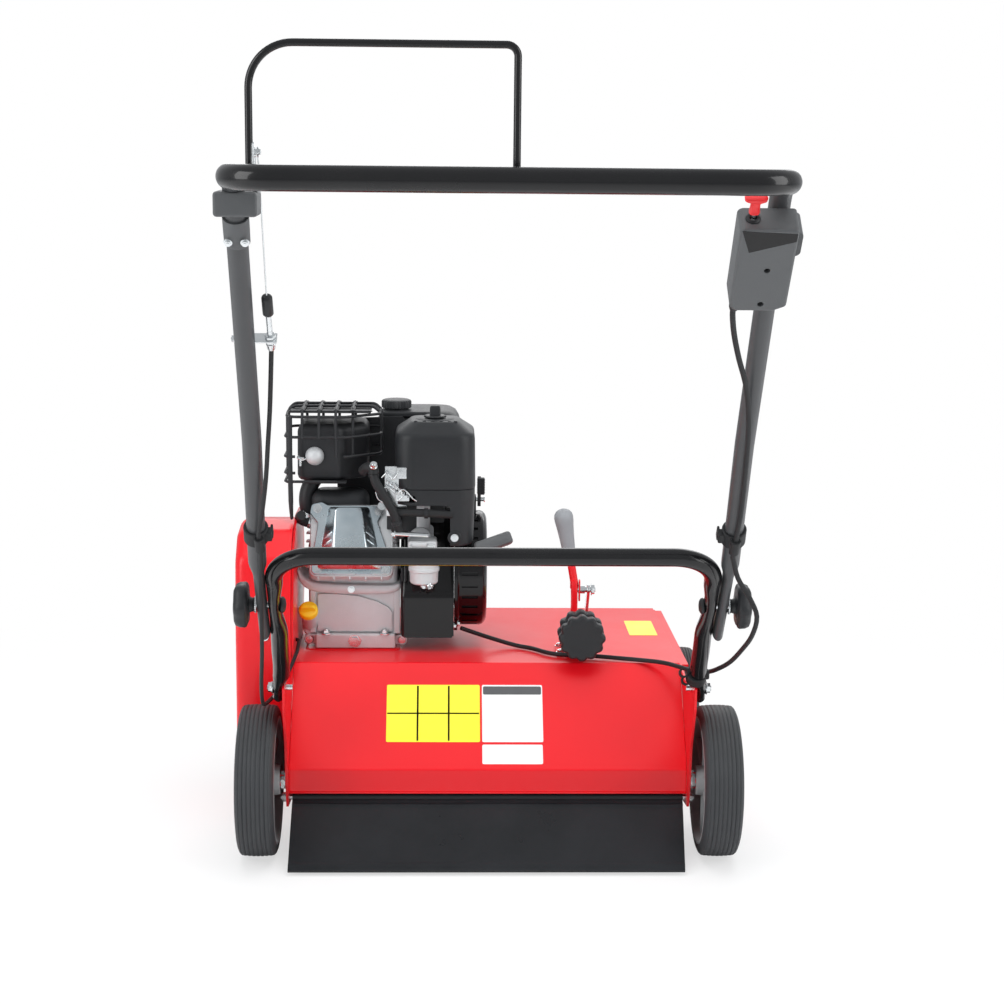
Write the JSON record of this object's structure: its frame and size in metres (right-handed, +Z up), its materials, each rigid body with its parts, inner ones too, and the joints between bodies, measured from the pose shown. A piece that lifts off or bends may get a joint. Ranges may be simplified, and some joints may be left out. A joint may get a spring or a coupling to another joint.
{
  "type": "lawn scarifier",
  "caption": "Walk-behind petrol lawn scarifier: sheet deck on wheels, engine with belt drive to a bladed rotor, work lever and a folding tube handle with a bail.",
  "frame": {"origin": "bottom centre of the whole machine's box, on the ground", "axes": "+Z up, +Y forward away from the person who pushes it, +X to that person's right"},
  "size_m": [0.677, 1.2119, 1.0375],
  "materials": {
    "red_paint": "glossy red powder coat",
    "black_paint": "semi-gloss black powder coat",
    "black_plastic": "fine-grained black",
    "grey_plastic": "dark grey",
    "rubber": "dull black",
    "tyre": "dark grey rubber",
    "rim_plastic": "grey",
    "zinc": "bright zinc plate",
    "cast_aluminium": "as cast",
    "steel": "bare steel",
    "yellow_plastic": "yellow",
    "grey_rubber": "grey",
    "red_plastic": "red"
  },
  "bodies": {
    "chassis": {"deck_shell": "red_paint", "side_plate_left": "red_paint", "side_plate_right": "red_paint", "lower_handle": "black_paint", "belt_cover": "red_paint", "crankcase": "cast_aluminium", "valve_cover": "zinc", "muffler": "black_paint", "muffler_guard": "black_paint", "blower_housing": "black_plastic", "recoil_cover": "black_plastic", "fuel_tank": "black_plastic", "air_filter_cover": "black_plastic", "air_filter_base": "black_plastic", "carburettor": "cast_aluminium", "spark_plug_boot": "rubber", "bearing_left": "steel", "bearing_right": "steel", "drive_belt": "rubber", "flap_rod": "zinc", "electric_lead": "rubber", "clutch_cable": "rubber", "lever_bracket": "red_paint"},
    "fuel_cap": {"fuel_cap": "black_plastic"},
    "filter_knob": {"air_filter_knob": "black_plastic"},
    "oil_cap": {"oil_filler_cap": "yellow_plastic"},
    "starter_grip": {"starter_grip": "black_plastic"},
    "throttle_lever": {"throttle_lever": "black_plastic"},
    "wheel_rear_left": {"tyre_rear_left": "tyre", "rim_rear_left": "rim_plastic"},
    "wheel_rear_right": {"tyre_rear_right": "tyre", "rim_rear_right": "rim_plastic"},
    "wheel_front_left": {"tyre_front_left": "tyre", "rim_front_left": "rim_plastic"},
    "wheel_front_right": {"tyre_front_right": "tyre", "rim_front_right": "rim_plastic"},
    "front_axle": {"front_axle": "zinc"},
    "work_lever": {"work_lever": "red_paint", "lever_grip": "grey_rubber"},
    "link": {"link_rod": "zinc"},
    "depth_handwheel": {"depth_handwheel": "black_plastic"},
    "rotor": {"rotor_shaft": "steel", "driven_pulley": "steel"},
    "crank": {"crankshaft": "steel", "flywheel": "cast_aluminium", "drive_pulley": "steel"},
    "idler_arm": {"idler_arm": "zinc"},
    "idler_pulley": {"idler_pulley": "steel"},
    "flap": {"rear_flap": "rubber"},
    "upper_handle": {"upper_handle": "black_paint", "bail_bracket": "grey_plastic", "switch_box": "grey_plastic", "cable_clip_left": "black_plastic", "cable_clip_right": "black_plastic", "clutch_wire": "steel"},
    "knob_left": {"star_knob_left": "black_plastic"},
    "knob_right": {"star_knob_right": "black_plastic"},
    "bail": {"bail": "black_paint"},
    "toggle": {"toggle_switch": "red_plastic"}
  },
  "joints": [
    {"name": "wheel_rear_left_spin", "type": "hinge", "parent": "chassis", "child": "wheel_rear_left", "pos_m": [-0.2965, 0.06125, 0.1], "axis": [1, 0, 0], "continuous": true},
    {"name": "wheel_rear_right_spin", "type": "hinge", "parent": "chassis", "child": "wheel_rear_right", "pos_m": [0.3095, 0.06125, 0.1], "axis": [1, 0, 0], "continuous": true},
    {"name": "wheel_front_left_spin", "type": "hinge", "parent": "front_axle", "child": "wheel_front_left", "pos_m": [-0.2915, 0.43325, 0.09], "axis": [1, 0, 0], "continuous": true},
    {"name": "wheel_front_right_spin", "type": "hinge", "parent": "front_axle", "child": "wheel_front_right", "pos_m": [0.3045, 0.43325, 0.09], "axis": [1, 0, 0], "continuous": true},
    {"name": "front_axle_swing", "type": "hinge", "parent": "chassis", "child": "front_axle", "pos_m": [0.0065, 0.36125, 0.096], "axis": [1, 0, 0], "range_deg": [0, 25]},
    {"name": "work_lever_swing", "type": "hinge", "parent": "chassis", "child": "work_lever", "pos_m": [0.1305, 0.24625, 0.24], "axis": [1, 0, 0], "range_deg": [0, 25]},
    {"name": "link_swing", "type": "hinge", "parent": "work_lever", "child": "link", "pos_m": [0.1485, 0.24625, 0.316], "axis": [1, 0, 0], "range_deg": [-25, 0]},
    {"name": "depth_handwheel_turn", "type": "hinge", "parent": "chassis", "child": "depth_handwheel", "pos_m": [0.1345, 0.14625, 0.27], "axis": [0, 1, 0], "range_deg": [-720, 720]},
    {"name": "rotor_spin", "type": "hinge", "parent": "chassis", "child": "rotor", "pos_m": [0.0065, 0.25125, 0.095], "axis": [1, 0, 0], "continuous": true},
    {"name": "crankshaft_spin", "type": "hinge", "parent": "chassis", "child": "crank", "pos_m": [0.0065, 0.32325, 0.33], "axis": [1, 0, 0], "continuous": true},
    {"name": "idler_arm_swing", "type": "hinge", "parent": "chassis", "child": "idler_arm", "pos_m": [-0.2675, 0.21125, 0.292], "axis": [1, 0, 0], "range_deg": [0, 7.3]},
    {"name": "idler_pulley_spin", "type": "hinge", "parent": "idler_arm", "child": "idler_pulley", "pos_m": [-0.3015, 0.22125, 0.232], "axis": [1, 0, 0], "continuous": true},
    {"name": "flap_swing", "type": "hinge", "parent": "chassis", "child": "flap", "pos_m": [0.0065, 0.07325, 0.072], "axis": [-1, 0, 0], "range_deg": [0, 55]},
    {"name": "handle_fold", "type": "hinge", "parent": "chassis", "child": "upper_handle", "pos_m": [0.0065, -0.08525, 0.375], "axis": [1, 0, 0], "range_deg": [-12, 70], "deforming": ["electric_lead", "clutch_cable"]},
    {"name": "knob_left_turn", "type": "hinge", "parent": "chassis", "child": "knob_left", "pos_m": [-0.284, -0.08525, 0.375], "axis": [1, 0, 0], "range_deg": [0, 720]},
    {"name": "knob_right_turn", "type": "hinge", "parent": "chassis", "child": "knob_right", "pos_m": [0.297, -0.08525, 0.375], "axis": [1, 0, 0], "range_deg": [0, 720]},
    {"name": "bail_squeeze", "type": "hinge", "parent": "upper_handle", "child": "bail", "pos_m": [0.0065, -0.50675, 0.904], "axis": [1, 0, 0], "range_deg": [0, 73], "stiffness_Nm_per_rad": 1.5, "deforming": ["clutch_wire"]},
    {"name": "toggle_rock", "type": "hinge", "parent": "upper_handle", "child": "toggle", "pos_m": [0.2445, -0.5193, 0.86763], "axis": [0, 0.7771, 0.6293], "range_deg": [-12, 12]},
    {"name": "starter_pull", "type": "slide", "parent": "chassis", "child": "starter_grip", "axis": [0, -0.9397, 0.3419], "range_m": [0, 0.45], "stiffness_N_per_m": 20},
    {"name": "fuel_cap_turn", "type": "hinge", "parent": "chassis", "child": "fuel_cap", "pos_m": [-0.1235, 0.39525, 0.5543], "axis": [0, 0, 1], "range_deg": [0, 120]},
    {"name": "filter_knob_turn", "type": "hinge", "parent": "chassis", "child": "filter_knob", "pos_m": [-0.067, 0.26825, 0.5553], "axis": [0, 0, 1], "range_deg": [0, 720]},
    {"name": "oil_cap_turn", "type": "hinge", "parent": "chassis", "child": "oil_cap", "pos_m": [-0.24252, 0.24504, 0.28221], "axis": [-0.0588, -0.7059, 0.7059], "range_deg": [0, 120]},
    {"name": "throttle_turn", "type": "hinge", "parent": "chassis", "child": "throttle_lever", "pos_m": [-0.004, 0.32025, 0.43], "axis": [1, 0, 0], "range_deg": [0, 50]}
  ],
  "couplings": [
    {"joint": "work_lever_swing", "follows": "front_axle_swing", "ratio": 1},
    {"joint": "link_swing", "follows": "front_axle_swing", "ratio": -1},
    {"joint": "crankshaft_spin", "follows": "rotor_spin", "ratio": 1.1111},
    {"joint": "idler_pulley_spin", "follows": "rotor_spin", "ratio": -1.8182},
    {"joint": "idler_arm_swing", "follows": "bail_squeeze", "ratio": 0.1}
  ]
}
